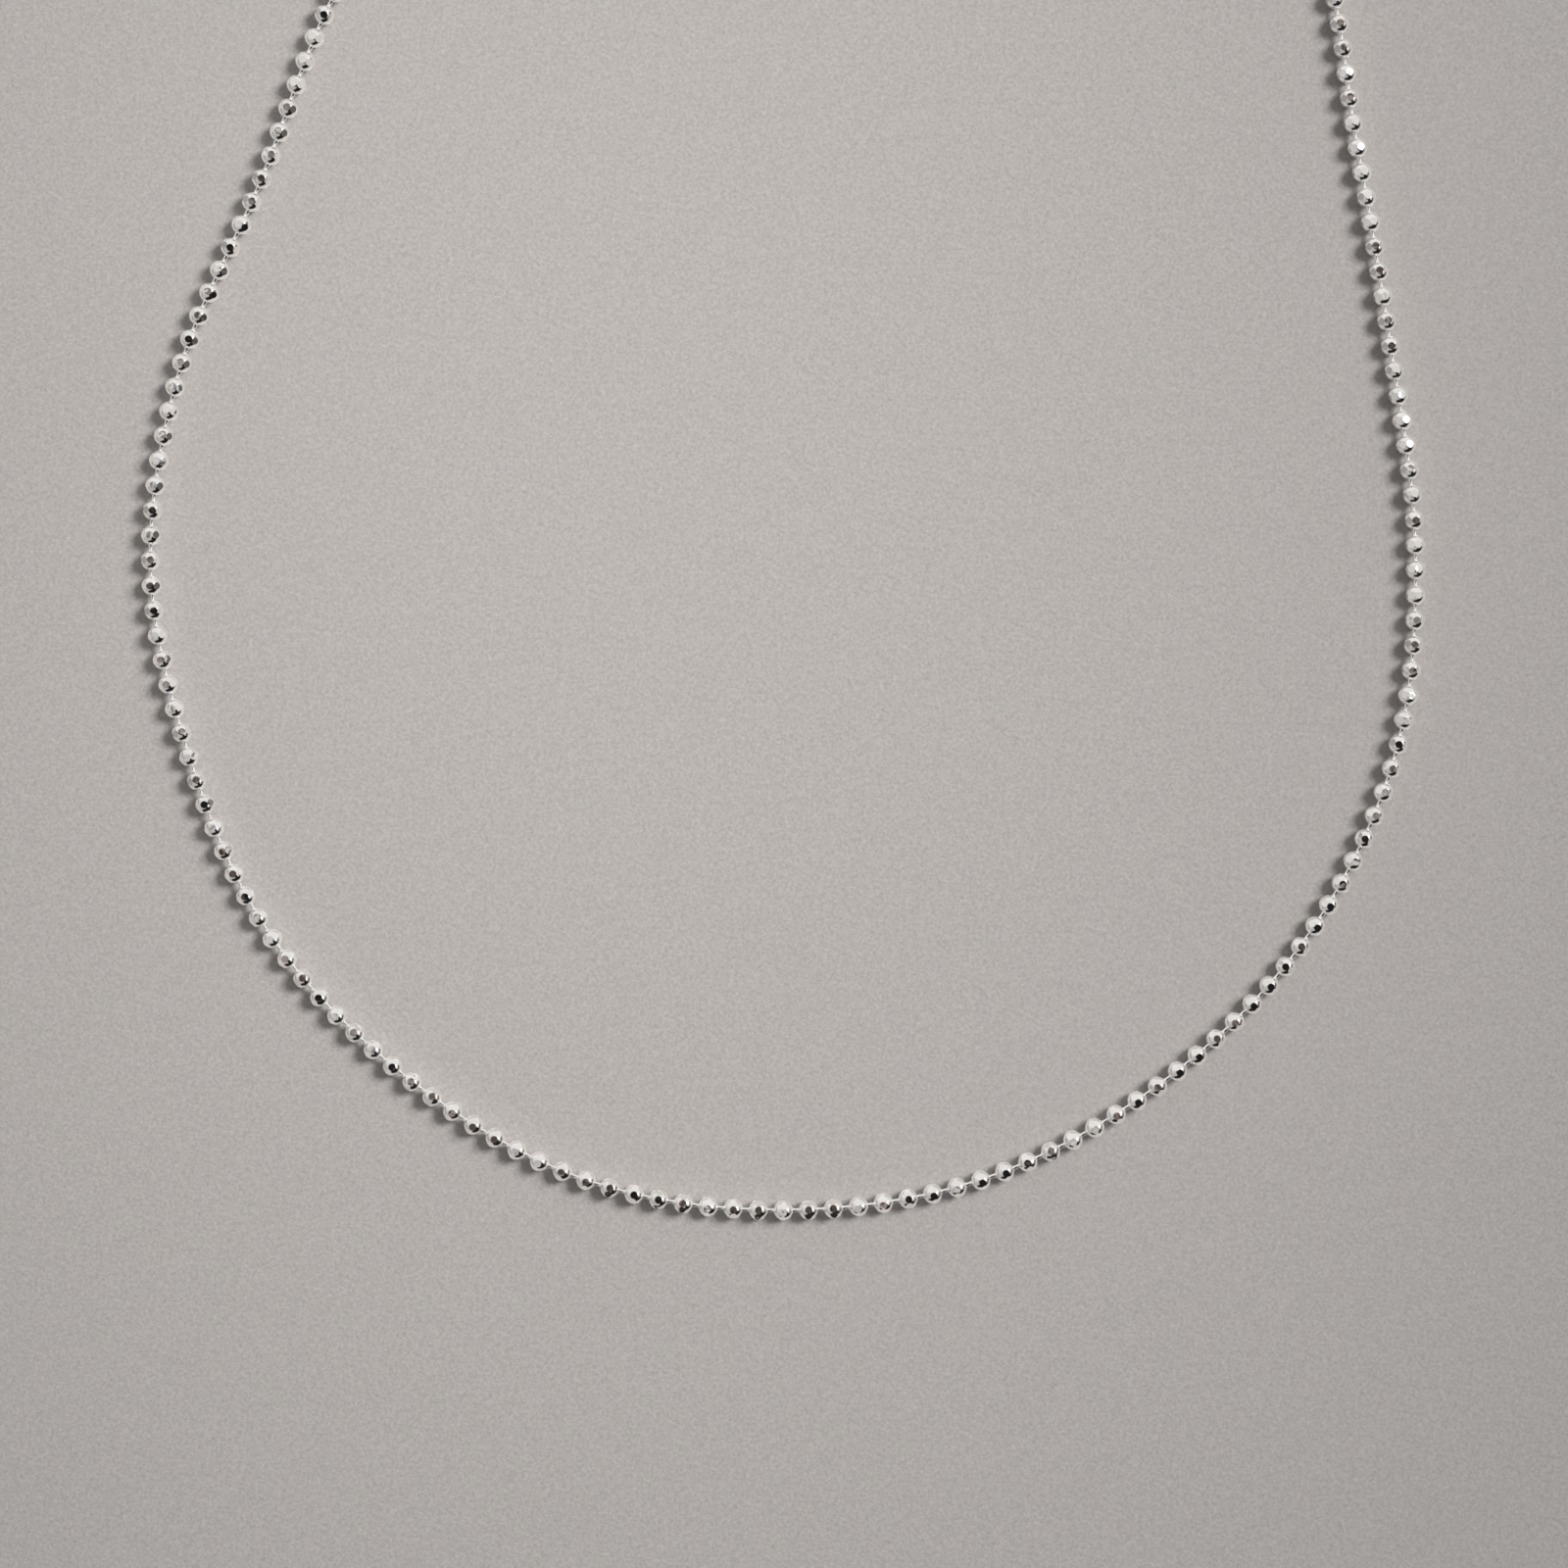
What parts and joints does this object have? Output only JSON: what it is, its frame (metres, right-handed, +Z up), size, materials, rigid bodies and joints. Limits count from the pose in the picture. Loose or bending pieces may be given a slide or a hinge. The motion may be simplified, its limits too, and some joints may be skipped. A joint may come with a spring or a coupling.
{
  "type": "ball chain necklace",
  "caption": "Closed neck chain of small hollow diamond-cut balls on fine wire links, lying flat, with a plain round clasp at the back.",
  "frame": {"origin": "middle of the loop's outline, on the surface that the necklace lies on", "axes": "+X across the loop to the right, +Y from the front of the chain to the clasp at the back, +Z up from the surface"},
  "size_m": [0.131, 0.1617, 0.002],
  "materials": {
    "cut_balls": "polished silver with bright cut flats and fine handling marks",
    "link_wire": "polished silver wire",
    "clasp_silver": "polished silver, softly worn"
  },
  "bodies": {
    "root": {"balls_left": "cut_balls", "balls_right": "cut_balls", "link_wire": "link_wire", "end_ring_left": "clasp_silver", "end_ring_right": "clasp_silver", "clasp": "clasp_silver"}
  },
  "joints": []
}
